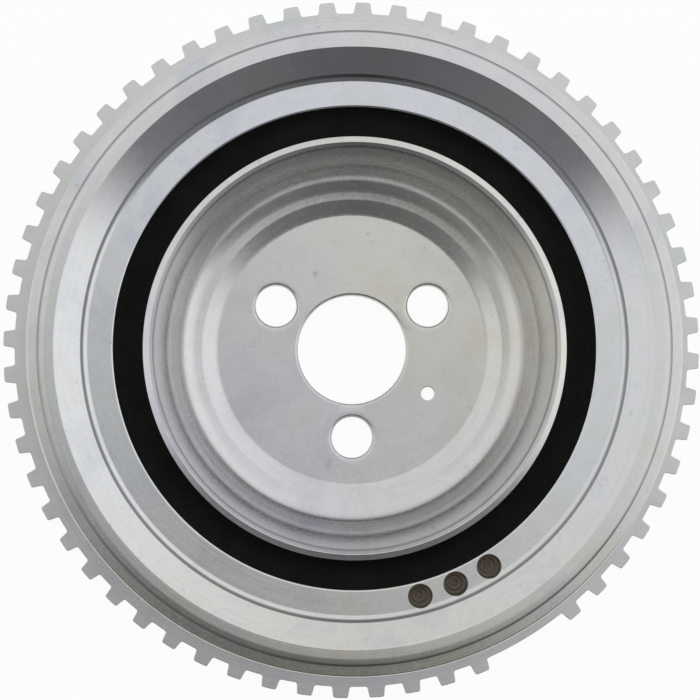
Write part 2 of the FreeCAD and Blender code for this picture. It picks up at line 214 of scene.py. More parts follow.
def select_vertices_at(piece: bpy.types.Object, place: Vector) -> None:
    """Selects the vertices that lie at one place, in edit mode.

    Args:
        piece: The piece, in edit mode.
        place: The place, in metres.
    """
    bpy.ops.mesh.select_mode(type="VERT")
    bpy.ops.mesh.select_all(action="DESELECT")
    shape = bmesh.from_edit_mesh(piece.data)
    for vertex in shape.verts:
        vertex.select_set((vertex.co - place).length < WELD)
    shape.select_flush_mode()
    bmesh.update_edit_mesh(piece.data)


def round_corner(
    piece: bpy.types.Object, before: Vector, place: Vector, after: Vector, radius: float
) -> None:
    """Rounds one corner of an outline off to an arc.

    Args:
        piece: The outline, in edit mode.
        before: The corner before it, in metres.
        place: The corner's own place.
        after: The corner after it.
        radius: The arc's radius, in metres.
    """
    turn = (place - before).angle(after - place)
    facets = max(2, math.ceil(math.degrees(turn) / DEGREES_PER_FACET))
    select_vertices_at(piece, place)
    bpy.ops.mesh.bevel(
        affect="VERTICES",
        offset_type="OFFSET",
        offset=radius * math.tan(turn / 2),
        segments=facets,
        profile=0.5,
    )


def round_corners(piece: bpy.types.Object, places: list[Vector], radii: list[float]) -> None:
    """Rounds off every corner of an outline that has a radius.

    Args:
        piece: The outline, in edit mode.
        places: Its corners in order, in metres.
        radii: The radius at each corner, in metres, or 0 where it stays sharp.
    """
    for index, (place, radius) in enumerate(zip(places, radii)):
        if radius:
            after = places[(index + 1) % len(places)]
            round_corner(piece, places[index - 1], place, after, radius)


def turn_ring(name: str, corners: list[Corner], steps: int = STEPS_ROUND) -> bpy.types.Object:
    """Turns a closed outline round the axis into a ring, as on a lathe.

    Args:
        name: The new piece's name.
        corners: The outline's corners: across is the radius and along the height.
        steps: How many facets go round.

    Returns:
        The new piece, in object mode.
    """
    places = [Vector((corner.across, 0, corner.along)) * MM for corner in corners]
    piece = trace_outline(name, places)
    round_corners(piece, places, [corner.rounding * MM for corner in corners])
    select_whole()
    bpy.ops.mesh.delete(type="ONLY_FACE")
    turn = math.tau / SECTORS
    select_whole()
    bpy.ops.mesh.spin(steps=steps // SECTORS, angle=turn, **ROUND_THE_AXIS)
    select_whole()
    bpy.ops.mesh.spin(steps=SECTORS - 1, dupli=True, angle=math.tau - turn, **ROUND_THE_AXIS)
    close_up(piece)
    return piece


def close_up(piece: bpy.types.Object) -> None:
    """Welds a mesh's doubles, turns its faces outwards, leaves edit mode and reports open edges.

    Args:
        piece: The piece, in edit mode.
    """
    select_whole()
    bpy.ops.mesh.remove_doubles(threshold=WELD)
    select_whole()
    bpy.ops.mesh.normals_make_consistent(inside=False)
    bpy.ops.object.mode_set(mode="OBJECT")
    shape = bmesh.new()
    shape.from_mesh(piece.data)
    LOG.info("%s: %d open edges", piece.name, sum(edge.is_boundary for edge in shape.edges))
    shape.free()


def turn_drill(name: str, corners: list[Corner], radius: float, angle: float, steps: int) -> bpy.types.Object:
    """Turns a solid tool on the axis and moves it out to where it cuts.

    Args:
        name: The tool's name.
        corners: Its outline, from its tip on the axis to its top on the axis.
        radius: The circle that it stands on, in millimetres.
        angle: Its place on that circle, in degrees.
        steps: How many facets go round.

    Returns:
        The tool, in object mode.
    """
    tool = turn_ring(name, corners, steps)
    centre = Vector((math.cos(math.radians(angle)), math.sin(math.radians(angle)), 0)) * radius * MM
    activate(tool)
    bpy.ops.object.mode_set(mode="EDIT")
    select_whole()
    bpy.ops.transform.translate(value=centre)
    bpy.ops.object.mode_set(mode="OBJECT")
    return tool


def cut(piece: bpy.types.Object, tools: list[bpy.types.Object]) -> None:
    """Cuts tools out of a piece and clears them away. The cut faces take the tools' material.

    Args:
        piece: The piece that is cut.
        tools: The tools, as closed solids.
    """
    activate(tools[0])
    for tool in tools:
        tool.select_set(True)
    bpy.ops.object.join()
    joined = bpy.context.object
    apply_modifier(
        piece, "BOOLEAN", operation="DIFFERENCE", object=joined, solver="EXACT", material_mode="TRANSFER"
    )
    bpy.data.objects.remove(joined, do_unlink=True)


def smooth(piece: bpy.types.Object, sharp_from: float = 25.0) -> None:
    """Shades a piece smooth, with flats that stay flat.

    Args:
        piece: The piece to shade.
        sharp_from: Edges that turn by more degrees than this stay sharp.
    """
    activate(piece)
    bpy.ops.object.shade_smooth_by_angle(angle=math.radians(sharp_from))
    apply_modifier(piece, "WEIGHTED_NORMAL", mode="FACE_AREA", weight=50, keep_sharp=True)


# ---------------------------------------------------------------- finishes

# The part of its range from 0 to 1 that a noise really fills, and the same for the sum of two
NOISE_SPAN = (0.3, 0.7)
TWO_NOISES_SPAN = (0.7, 1.3)

# The radius in millimetres at which the scale of the bands ends, just past the teeth
BAND_SCALE = 80.0


def start_material(name: str) -> tuple[bpy.types.Material, bpy.types.NodeTree]:
    """Starts a material that has no nodes yet.

    Args:
        name: The new material's name.

    Returns:
        The material and its tree.
    """
    material = bpy.data.materials.new(name)
    material.use_nodes = True
    material.node_tree.nodes.clear()
    return material, material.node_tree


@dataclass(frozen=True)
class Band:
    """A ring of the surface with a tint of its own or with painted shade, from one radius outwards."""

    radius: float
    colour: str


@dataclass(frozen=True)
class PulleyPoint:
    """Where a shaded point lies on the pulley, as outputs of a material's nodes.

    The place is in Object coordinates, whose origin and Z axis are the pulley's own. The heading is the way out to it.
    """

    tree: bpy.types.NodeTree
    place: bpy.types.NodeSocket
    flat: bpy.types.NodeSocket
    radius: bpy.types.NodeSocket
    heading: bpy.types.NodeSocket
    height: bpy.types.NodeSocket

    @classmethod
    def read(cls, tree: bpy.types.NodeTree) -> "PulleyPoint":
        """Adds the nodes that find the point.

        Args:
            tree: The material's tree.

        Returns:
            The point.
        """
        place = add_node(tree, "ShaderNodeTexCoord").outputs["Object"]
        split = add_node(tree, "ShaderNodeSeparateXYZ", {0: place}).outputs
        flat = add_node(tree, "ShaderNodeCombineXYZ", {0: split[0], 1: split[1]}).outputs[0]
        radius = add_node(tree, "ShaderNodeVectorMath", {0: flat}, operation="LENGTH").outputs["Value"]
        heading = add_node(tree, "ShaderNodeVectorMath", {0: flat}, operation="NORMALIZE").outputs[0]
        return cls(tree, place, flat, radius, heading, split[2])


@dataclass(frozen=True)
class ZincPlate:
    """Bright zinc plating with a clear passivation, over steel that was worked by a lathe or a press.

    The plating copies the lines of the work under it, so its shine is drawn out round the axis. The passivation is a
    thin, uneven film that tints the metal. Sizes are in millimetres, and a share of 1 is all of it.
    """

    name: str
    bands: tuple[Band, ...]
    film: tuple[tuple[float, str], ...]
    drained_from: tuple[float, float]
    drift: tuple[tuple[float, str], ...]
    roughness: tuple[float, float]
    line_pitch: float
    line_depth: float
    line_sweep: float
    grain_size: float
    grain_depth: float
    anisotropy: float
    stain: str = "#8d8f90"
    stain_size: float = 3.0
    stain_span: tuple[float, float] = (0.62, 0.78)
    stain_share: float = 0.4
    film_share: float = 0.8
    film_size: float = 16.0
    mottle: float = 0.035
    bands_from: float = 0.0
    bands_fade: float = 0.3
    marks: tuple[tuple[float, float, float], ...] = ()
    mark_share: float = 0.4
    mark_core: float = 0.3

    def ring_lines(self, point: PulleyPoint) -> bpy.types.NodeSocket:
        """Draws the lines that run round the axis: fine across, long along the sweep.

        Args:
            point: Where the shaded point lies.

        Returns:
            The lines' height, from 0 to 1.
        """
        tree = point.tree
        per_line = 1 / (self.line_pitch * MM)
        sweep = add_node(
            tree, "ShaderNodeVectorMath", {0: point.heading, 1: (self.line_sweep,) * 3}, operation="MULTIPLY"
        ).outputs[0]
        outwards, upwards = (
            add_node(tree, "ShaderNodeMath", {0: way, 1: per_line}, operation="MULTIPLY").outputs[0]
            for way in (point.radius, point.height)
        )
        lift = add_node(tree, "ShaderNodeCombineXYZ", {2: outwards}).outputs[0]
        on_ring = add_node(tree, "ShaderNodeVectorMath", {0: sweep, 1: lift}, operation="ADD").outputs[0]
        return add_node(
            tree,
            "ShaderNodeTexNoise",
            {"Vector": on_ring, "W": upwards, "Scale": 1.0, "Detail": 2.0, "Roughness": 0.6},
            noise_dimensions="4D",
        ).outputs["Fac"]

    def band_tint(self, point: PulleyPoint) -> bpy.types.NodeSocket:
        """Tints each band by its radius. Below the bands' height, all is tinted as the first band.

        Args:
            point: Where the shaded point lies.

        Returns:
            The tint.
        """
        tree = point.tree
        on_scale = add_node(
            tree, "ShaderNodeMath", {0: point.radius, 1: BAND_SCALE * MM}, operation="DIVIDE"
        ).outputs[0]
        stops = tuple((band.radius / BAND_SCALE, band.colour) for band in self.bands)
        ringed = add_node(tree, "ShaderNodeValToRGB", {0: on_scale}, stops=stops).outputs[0]
        fade = (self.bands_from * MM, (self.bands_from + self.bands_fade) * MM)
        above = add_node(tree, "ShaderNodeMapRange", {0: point.height, 1: fade[0], 2: fade[1]}).outputs[0]
        return add_node(
            tree, "ShaderNodeMix", {0: above, 6: linear(self.bands[0].colour), 7: ringed}, data_type="RGBA"
        ).outputs[2]

    def film_tints(self, point: PulleyPoint) -> tuple[bpy.types.NodeSocket, bpy.types.NodeSocket]:
        """Tints the passivation's film.

        Args:
            point: Where the shaded point lies.

        Returns:
            The tint of the film's broad uneven patches, and the tint that drifts from one side of the piece to the
            other, as the film drained off when the piece was dipped.
        """
        tree = point.tree
        patches = add_node(
            tree,
            "ShaderNodeTexNoise",
            {
                "Vector": point.place,
                "Scale": 1 / (self.film_size * MM),
                "Detail": 5.0,
                "Roughness": 0.68,
                "Distortion": 0.4,
            },
        ).outputs["Fac"]
        film = add_node(tree, "ShaderNodeValToRGB", {0: patches}, stops=self.film).outputs[0]
        across = add_node(
            tree, "ShaderNodeVectorMath", {0: point.heading, 1: (*self.drained_from, 0)}, operation="DOT_PRODUCT"
        ).outputs["Value"]
        side = add_node(tree, "ShaderNodeMapRange", {0: across, 1: -1.0, 2: 1.0}).outputs[0]
        drift = add_node(tree, "ShaderNodeValToRGB", {0: side}, stops=self.drift).outputs[0]
        return film, drift

    def shade(
        self, point: PulleyPoint, lines: bpy.types.NodeSocket, grain: bpy.types.NodeSocket
    ) -> bpy.types.NodeSocket:
        """Colours the plating: its bands, its film, and what the lines and the grain take off its brightness.

        Args:
            point: Where the shaded point lies.
            lines: The lines' height.
            grain: The grain's height.

        Returns:
            The clean plating's colour.
        """
        tree = point.tree
        film, drift = self.film_tints(point)
        greys = (
            add_node(
                tree,
                "ShaderNodeMapRange",
                {0: relief, 1: NOISE_SPAN[0], 2: NOISE_SPAN[1], 3: 1 - self.mottle, 4: 1 + self.mottle / 2},
            ).outputs[0]
            for relief in (grain, lines)
        )
        dulled = add_node(tree, "ShaderNodeMath", dict(enumerate(greys)), operation="MULTIPLY").outputs[0]
        colour = self.band_tint(point)
        for share, layer in ((self.film_share, film), (1.0, drift), (1.0, dulled)):
            colour = add_node(
                tree, "ShaderNodeMix", {0: share, 6: colour, 7: layer}, data_type="RGBA", blend_type="MULTIPLY"
            ).outputs[2]
        return colour

    def soil(self, point: PulleyPoint, colour: bpy.types.NodeSocket) -> bpy.types.NodeSocket:
        """Adds faint stains, and the nicks and scuffs that each have their own place.

        Args:
            point: Where the shaded point lies.
            colour: The clean plating's colour.

        Returns:
            The plating's colour.
        """
        tree = point.tree
        specks = add_node(
            tree,
            "ShaderNodeTexNoise",
            {"Vector": point.place, "Scale": 1 / (self.stain_size * MM), "Detail": 5.0, "Roughness": 0.7},
        ).outputs["Fac"]
        spans = [(specks, *self.stain_span, 0.0, self.stain_share)]
        for x, y, size in self.marks:
            away = add_node(
                tree, "ShaderNodeVectorMath", {0: point.flat, 1: (x * MM, y * MM, 0)}, operation="DISTANCE"
            ).outputs["Value"]
            spans.append((away, self.mark_core * size * MM, size * MM, self.mark_share, 0.0))
        for span in spans:
            shown = add_node(tree, "ShaderNodeMapRange", dict(enumerate(span))).outputs[0]
            colour = add_node(
                tree, "ShaderNodeMix", {0: shown, 6: colour, 7: linear(self.stain)}, data_type="RGBA"
            ).outputs[2]
        return colour

    def material(self) -> bpy.types.Material:
        """Builds the material.

        Returns:
            The new material.
        """
        material, tree = start_material(self.name)
        point = PulleyPoint.read(tree)
        lines = self.ring_lines(point)
        grain = add_node(
            tree,
            "ShaderNodeTexNoise",
            {"Vector": point.place, "Scale": 1 / (self.grain_size * MM), "Detail": 3.0, "Roughness": 0.6},
        ).outputs["Fac"]
        colour = self.soil(point, self.shade(point, lines, grain))

        # Roughness follows the grain and the lines
        uneven = add_node(tree, "ShaderNodeMath", {0: grain, 1: lines}, operation="ADD").outputs[0]
        rough = add_node(
            tree, "ShaderNodeMapRange", dict(enumerate((uneven, *TWO_NOISES_SPAN, *self.roughness)))
        ).outputs[0]
        lined = add_node(
            tree, "ShaderNodeBump", {"Height": lines, "Distance": self.line_depth * MM, "Strength": 1.0}
        ).outputs[0]
        grained = add_node(
            tree,
            "ShaderNodeBump",
            {"Height": grain, "Distance": self.grain_depth * MM, "Strength": 1.0, "Normal": lined},
        ).outputs[0]
        tangent = add_node(tree, "ShaderNodeTangent", direction_type="RADIAL", axis="Z").outputs[0]
        shader = add_node(
            tree,
            "ShaderNodeBsdfPrincipled",
            {
                "Base Color": colour,
                "Metallic": 1.0,
                "Roughness": rough,
                "Normal": grained,
                "Tangent": tangent,
                "Anisotropic": self.anisotropy,
            },
        )
        add_node(tree, "ShaderNodeOutputMaterial", {0: shader.outputs[0]})
        return material


@dataclass(frozen=True)
class MouldedRubber:
    """Black nitrile rubber as it leaves the mould: nearly black, with a dull sheen and a faint brown bloom.

    A mould's grain is about 0.2 mm. It is drawn at 0.7 mm, so that it shows.
    """

    name: str = "moulded_nitrile_rubber"
    black: str = "#060505"
    bloom: str = "#120f0d"
    bloom_size: float = 9.0
    bloom_span: tuple[float, float] = (0.42, 0.75)
    roughness: tuple[float, float] = (0.45, 0.7)
    grain_size: float = 0.7
    grain_depth: float = 0.05
    refraction: float = 1.52
    sheen: float = 0.12

    def material(self) -> bpy.types.Material:
        """Builds the material.

        Returns:
            The new material.
        """
        material, tree = start_material(self.name)
        place = add_node(tree, "ShaderNodeTexCoord").outputs["Object"]
        cloud = add_node(
            tree,
            "ShaderNodeTexNoise",
            {"Vector": place, "Scale": 1 / (self.bloom_size * MM), "Detail": 5.0, "Roughness": 0.65},
        ).outputs["Fac"]
        grain = add_node(
            tree,
            "ShaderNodeTexNoise",
            {"Vector": place, "Scale": 1 / (self.grain_size * MM), "Detail": 3.0, "Roughness": 0.6},
        ).outputs["Fac"]
        stops = tuple(zip(self.bloom_span, (self.black, self.bloom)))
        colour = add_node(tree, "ShaderNodeValToRGB", {0: cloud}, stops=stops).outputs[0]
        rough = add_node(
            tree, "ShaderNodeMapRange", dict(enumerate((grain, *NOISE_SPAN, *self.roughness)))
        ).outputs[0]
        bump = add_node(tree, "ShaderNodeBump", {"Height": grain, "Distance": self.grain_depth * MM}).outputs[0]
        shader = add_node(
            tree,
            "ShaderNodeBsdfPrincipled",
            {
                "Base Color": colour,
                "Roughness": rough,
                "Normal": bump,
                "IOR": self.refraction,
                "Specular IOR Level": self.sheen,
            },
        )
        add_node(tree, "ShaderNodeOutputMaterial", {0: shader.outputs[0]})
        return material


@dataclass(frozen=True)
class DrilledSteel:
    """Bare steel at the bottom of drillings that were made after plating, where it has begun to rust.

    It is dull and brown, with the rings that the drill's lips leave round each drilling's centre. Real rings lie
    about 0.2 mm apart. They are drawn 0.9 mm apart, so that they show.
    """

    centres: tuple[tuple[float, float], ...]
    steel: str = "#bdb6aa"
    rust: str = "#a2927b"
    dark: str = "#7d766c"
    ring_pitch: float = 0.9
    ring_share: float = 0.25
    rust_size: float = 1.6
    depth: float = 0.08
    roughness: float = 0.55
    bare_share: float = 0.35
    name: str = "bare_drilled_steel"

    def material(self) -> bpy.types.Material:
        """Builds the material.

        Returns:
            The new material.
        """
        material, tree = start_material(self.name)
        place = add_node(tree, "ShaderNodeTexCoord").outputs["Object"]
        cloud = add_node(
            tree,
            "ShaderNodeTexNoise",
            {"Vector": place, "Scale": 1 / (self.rust_size * MM), "Detail": 5.0, "Roughness": 0.6},
        ).outputs["Fac"]
        split = add_node(tree, "ShaderNodeSeparateXYZ", {0: place}).outputs
        flat = add_node(tree, "ShaderNodeCombineXYZ", {0: split[0], 1: split[1]}).outputs[0]

        # The rings run round the nearest centre. The search starts from a metre off, which is past them all
        nearest = 1.0
        for x, y in self.centres:
            away = add_node(
                tree, "ShaderNodeVectorMath", {0: flat, 1: (x * MM, y * MM, 0)}, operation="DISTANCE"
            ).outputs["Value"]
            nearest = add_node(tree, "ShaderNodeMath", {0: away, 1: nearest}, operation="MINIMUM").outputs[0]
        turns = add_node(
            tree, "ShaderNodeMath", {0: nearest, 1: math.tau / (self.ring_pitch * MM)}, operation="MULTIPLY"
        ).outputs[0]
        rings = add_node(tree, "ShaderNodeMath", {0: turns}, operation="SINE").outputs[0]
        height = add_node(
            tree, "ShaderNodeMath", {0: rings, 1: self.ring_share, 2: cloud}, operation="MULTIPLY_ADD"
        ).outputs[0]
        colour = add_node(
            tree, "ShaderNodeValToRGB", {0: height}, stops=((0.3, self.dark), (0.5, self.steel), (0.75, self.rust))
        ).outputs[0]
        bump = add_node(tree, "ShaderNodeBump", {"Height": height, "Distance": self.depth * MM}).outputs[0]
        shader = add_node(
            tree,
            "ShaderNodeBsdfPrincipled",
            {"Base Color": colour, "Metallic": self.bare_share, "Roughness": self.roughness, "Normal": bump},
        )
        add_node(tree, "ShaderNodeOutputMaterial", {0: shader.outputs[0]})
        return material


# Drawn sheet under bright zinc: soft pale streaks run round the bowl, violet towards the lower left and yellow
# towards the upper right, with a thin dark ring of painted shade in the crease at the lip's foot. Drawing lines lie
# about 0.1 mm apart and the plating's grain is finer still. Both are drawn coarser, so that they show.
DRAWN_ZINC = ZincPlate(
    name="zinc_plated_drawn_steel",
    bands=(
        Band(0, "#dedfdf"),
        Band(43.45, "#dcdddc"),
        # Painted shade: these two dark rings darken the crease at the lip's foot
        Band(43.66, "#8e8c8b"),
        Band(43.84, "#8e8c8b"),
        Band(43.98, "#e1e1e2"),
    ),
    film=((0.32, "#efeff6"), (0.5, "#ffffff"), (0.66, "#f8f6f1")),
    drained_from=(0.7, 0.7),
    drift=((0.0, "#fcfaff"), (0.5, "#fffdfd"), (1.0, "#fffdf5")),
    roughness=(0.2, 0.28),
    line_pitch=0.55,
    line_depth=0.0009,
    line_sweep=1.2,
    grain_size=1.1,
    grain_depth=0.0012,
    anisotropy=0.15,
    bands_from=25.0,
    marks=((-8.2, 17.0, 0.8), (-8.6, 42.9, 0.7), (-10.1, 42.5, 0.6), (17.3, -39.0, 0.5)),
)

# Turned faces under bright zinc: nearly mirrors, with fine rings that catch the light, blue at the top and yellow at
# the bottom, and a thin dark line of painted shade at each of the front face's two steps. A lathe's lines lie about
# 0.15 mm apart. They and the grain are drawn coarser, so that they show.
TURNED_ZINC = ZincPlate(
    name="zinc_plated_turned_steel",
    bands=(
        Band(52, "#dfe1e4"),
        Band(58.95, "#dfe1e4"),
        # Painted shade: these two dark rings darken the step where the land rises to the cone
        Band(59.12, "#a8a4a5"),
        Band(59.38, "#a8a4a5"),
        Band(59.52, "#dfe0e2"),
        Band(65.2, "#dfe0e1"),
        Band(65.6, "#e1e1e0"),
        Band(68.35, "#e1e1df"),
        # Painted shade: these two dark rings darken the outer land's edge where it steps down to the flange
        Band(68.5, "#a3a6a2"),
        Band(68.8, "#a3a6a2"),
        Band(68.95, "#e0e1de"),
    ),
    film=((0.32, "#eef0f6"), (0.5, "#ffffff"), (0.66, "#f7f8f1")),
    drained_from=(0.0, 1.0),
    drift=((0.0, "#fffcf5"), (0.25, "#fbfdfd"), (0.6, "#fafcfc"), (1.0, "#f9faff")),
    roughness=(0.12, 0.18),
    line_pitch=0.45,
    line_depth=0.002,
    line_sweep=0.8,
    grain_size=0.6,
    grain_depth=0.0012,
    anisotropy=0.2,
    bands_from=25.0,
)

# Stamped sheet under bright zinc: even and pale, duller than the turned faces, with hardly any lines. The rolled
# sheet's lines lie about 0.1 mm apart. They and the grain are drawn coarser, so that they show.
STAMPED_ZINC = ZincPlate(
    name="zinc_plated_stamped_steel",
    bands=(Band(64, "#e0e1e1"), Band(78, "#e0e1e1")),
    film=((0.3, "#eef3f6"), (0.5, "#ffffff"), (0.7, "#f6f8f0")),
    drained_from=(0.0, 1.0),
    drift=((0.0, "#fdfcff"), (1.0, "#fcfefb")),
    roughness=(0.2, 0.28),
    line_pitch=0.9,
    line_depth=0.001,
    line_sweep=2.0,
    grain_size=0.5,
    grain_depth=0.003,
    anisotropy=0.0,
    stain="#93989a",
)


# ---------------------------------------------------------------- pieces


@dataclass
class Rim:
    """The turned inertia ring: dished front face, ribbed belt seat, rear spigot and three balance drillings.

    The outer land and the flange's face fall a little outwards, which catches the light along their edges.
    """

    bore: float = 52.35
    bore_chamfer: float = 0.4
    bore_rounding: float = 0.5
    land_height: float = 26.409
    land_edge: float = 58.5
    land_fillet: float = 1.4
    cone_foot: tuple[float, float] = (59.5, 27.342)
    crest: float = 65.2
    crest_rounding: float = 0.4
    height: float = 30.0
    outer_land_edge: float = 68.8
    outer_land_middle: float = 67.3
    outer_land_fall: float = 0.045
    outer_land_rounding: float = 12.0
    outer_land_chamfer: tuple[float, float] = (0.4, 0.26)
    flange: float = 71.2
    flange_face: float = 28.6
    flange_fall: float = 0.08
    flange_rounding: float = 0.4
    seat: tuple[float, float] = (5.3, 26.66)
    rib_tip: float = 69.3
    rib_tip_width: float = 0.7
    rib_chamfer: float = 0.15
    groove_root: float = 66.47
    groove_root_width: float = 0.8
    groove_root_rounding: float = 0.25
    groove_count: int = 6
    groove_pitch: float = 3.56
    spigot: float = 66.0
    spigot_chamfer: float = 0.4
    shoulder: float = 3.5
    balance_circle: float = 55.6
    balance_radius: float = 2.7
    balance_depth: float = 6.0
    balance_point: float = 118.0
    balance_angles: tuple[float, ...] = (-75.2, -66.8, -58.4)
    balance_steps: int = 48
    sharp_from: float = 15.0

    def grooves(self) -> list[Corner]:
        """Lays out the belt seat's ribs and grooves.

        Returns:
            Their corners, from the rear to the front.
        """
        corners = []
        half_tip = self.rib_tip_width / 2
        half_root = self.groove_root_width / 2
        for index in range(self.groove_count):
            start = self.seat[0] + index * self.groove_pitch
            middle = start + self.groove_pitch / 2
            end = start + self.groove_pitch
            corners += [
                Corner(self.rib_tip, start + half_tip - self.rib_chamfer),
                Corner(self.rib_tip - self.rib_chamfer, start + half_tip),
                Corner(self.groove_root, middle - half_root, self.groove_root_rounding),
                Corner(self.groove_root, middle + half_root, self.groove_root_rounding),
                Corner(self.rib_tip - self.rib_chamfer, end - half_tip),
                Corner(self.rib_tip, end - half_tip + self.rib_chamfer),
            ]
        return corners

    def outline(self) -> list[Corner]:
        """Lays out the ring's section.

        Returns:
            Its corners, once round from the bore's rear edge.
        """
        chamfer_width, chamfer_drop = self.outer_land_chamfer
        return [
            Corner(self.bore + self.bore_chamfer, 0),
            Corner(self.spigot - self.spigot_chamfer, 0),
            Corner(self.spigot, self.spigot_chamfer),
            Corner(self.spigot, self.shoulder),
            Corner(self.flange, self.shoulder, self.flange_rounding),
            Corner(self.flange, self.seat[0], self.flange_rounding),
            Corner(self.rib_tip, self.seat[0]),
            *self.grooves(),
            Corner(self.rib_tip, self.seat[1]),
            Corner(self.flange, self.seat[1], self.flange_rounding),
            Corner(self.flange, self.flange_face - self.flange_fall, self.flange_rounding),
            Corner(self.outer_land_edge, self.flange_face),
            Corner(self.outer_land_edge, self.height - self.outer_land_fall - chamfer_drop),
            Corner(self.outer_land_edge - chamfer_width, self.height - self.outer_land_fall),
            Corner(self.outer_land_middle, self.height, self.outer_land_rounding),
            Corner(self.crest, self.height, self.crest_rounding),
            Corner(*self.cone_foot),
            Corner(self.land_edge, self.land_height, self.land_fillet),
            Corner(self.bore, self.land_height, self.bore_rounding),
            Corner(self.bore, self.bore_chamfer),
        ]

    def build(self) -> bpy.types.Object:
        """Turns the ring, drills it and dresses it.

        Returns:
            The finished piece.
        """
        piece = turn_ring("turned_rim", self.outline())
        piece.data.materials.append(TURNED_ZINC.material())
        turns = [math.radians(angle) for angle in self.balance_angles]
        circle = self.balance_circle
        bare = DrilledSteel(tuple((circle * math.cos(turn), circle * math.sin(turn)) for turn in turns)).material()
        tip = self.land_height - self.balance_depth
        cone = self.balance_radius / math.tan(math.radians(self.balance_point / 2))
        corners = [
            Corner(0, tip - cone),
            Corner(self.balance_radius, tip),
            Corner(self.balance_radius, self.height),
            Corner(0, self.height),
        ]
        drills = [
            turn_drill("balance_drill", corners, circle, angle, self.balance_steps)
            for angle in self.balance_angles
        ]
        for drill in drills:
            drill.data.materials.append(bare)
        cut(piece, drills)
        smooth(piece, self.sharp_from)
        return piece


@dataclass
class Hub:
    """The drawn hub: a flat web, a step and ledge, a bowl, a wall that steepens, and a turned lip."""

    bore: float = 12.0
    bore_chamfer: float = 0.4
    punched_rounding: float = 0.7
    thickness: float = 4.0
    web: float = 30.2
    web_bend: float = 2.5
    rear_bend: float = 30.889
    ledge: tuple[float, float] = (33.3, 5.1)
    ledge_bend: float = 1.2
    bowl: tuple[float, float] = (37.5, 5.4)
    bowl_radius: float = 5.0
    knee: tuple[float, float] = (40.8665, 11.231)
    knee_radius: float = 12.0
    rear_corner: tuple[float, float] = (44.456, 4.814)
    rear_corner_radius: float = 10.9
    lip_inner: float = 43.95
    lip_crest_rounding: float = 0.2
    lip_edge: tuple[float, float] = (46.02, 27.75)
    lip_chamfer: float = 0.75
    lip_rounding: float = 0.2
    wall_draft: float = 10.3
    height: float = 28.2
    bolt_circle: float = 19.5
    bolt_hole: float = 4.5
    bolt_angles: tuple[float, ...] = (30.0, 150.0, 270.0)
    locating_hole: float = 1.5
    locating_angle: float = -30.0
    locating_rounding: float = 0.15
    punch_steps: int = 96

    def outline(self) -> list[Corner]:
        """Lays out the sheet's section.

        Returns:
            Its corners, once round from the bore's rear edge.
        """
        lean = math.tan(math.radians(self.wall_draft))
        return [
            Corner(self.bore + self.bore_chamfer, 0),
            Corner(self.rear_bend, 0, self.web_bend),
            Corner(*self.rear_corner, self.rear_corner_radius),
            Corner(*self.lip_edge, self.lip_rounding),
            Corner(self.lip_inner + self.lip_chamfer, self.height, self.lip_crest_rounding),
            Corner(self.lip_inner - self.lip_chamfer * lean, self.height - self.lip_chamfer),
            Corner(*self.knee, self.knee_radius),
            Corner(*self.bowl, self.bowl_radius),
            Corner(*self.ledge, self.ledge_bend),
            Corner(self.web, self.thickness, self.web_bend),
            Corner(self.bore, self.thickness, self.punched_rounding),
            Corner(self.bore, self.bore_chamfer),
        ]

    def punch(self, radius: float, angle: float, rounding: float) -> bpy.types.Object:
        """Makes a tool that punches one hole and draws its upper edge in.

        Args:
            radius: The hole's radius.
            angle: The hole's place on the bolt circle, in degrees.
            rounding: How far the sheet is drawn in round the hole.

        Returns:
            The tool.
        """
        above = self.thickness + rounding
        corners = [
            Corner(0, -self.thickness),
            Corner(radius, -self.thickness),
            Corner(radius, self.thickness, rounding),
            Corner(radius + 2 * rounding, self.thickness),
            Corner(radius + 2 * rounding, above),
            Corner(0, above),
        ]
        return turn_drill("punch", corners, self.bolt_circle, angle, self.punch_steps)

    def build(self) -> bpy.types.Object:
        """Draws the hub, punches its holes and dresses it.

        Returns:
            The finished piece.
        """
        piece = turn_ring("drawn_hub", self.outline())
        piece.data.materials.append(DRAWN_ZINC.material())
        punches = [self.punch(self.bolt_hole, angle, self.punched_rounding) for angle in self.bolt_angles]
        punches.append(self.punch(self.locating_hole, self.locating_angle, self.locating_rounding))
        cut(piece, punches)
        smooth(piece)
        return piece


@dataclass
class RubberRing:
    """The rubber ring that is bonded between the hub and the rim."""

    rear_seat: float = 44.952
    front_seat: float = 45.866
    middle: float = 49.108
    bore: float = 52.35
    rear: float = 12.1
    front: float = 25.5
    dip: float = 1.3
    dip_radius: float = 6.0

    def build(self) -> bpy.types.Object:
        """Moulds the ring and dresses it.

        Returns:
            The finished piece.
        """
        piece = turn_ring(
            "bonded_rubber_ring",
            [
                Corner(self.rear_seat, self.rear),
                Corner(self.middle, self.rear + self.dip, self.dip_radius),
                Corner(self.bore, self.rear),
                Corner(self.bore, self.front),
                Corner(self.middle, self.front - self.dip, self.dip_radius),
                Corner(self.front_seat, self.front),
            ],
        )
        piece.data.materials.append(MouldedRubber().material())
        smooth(piece)
        return piece


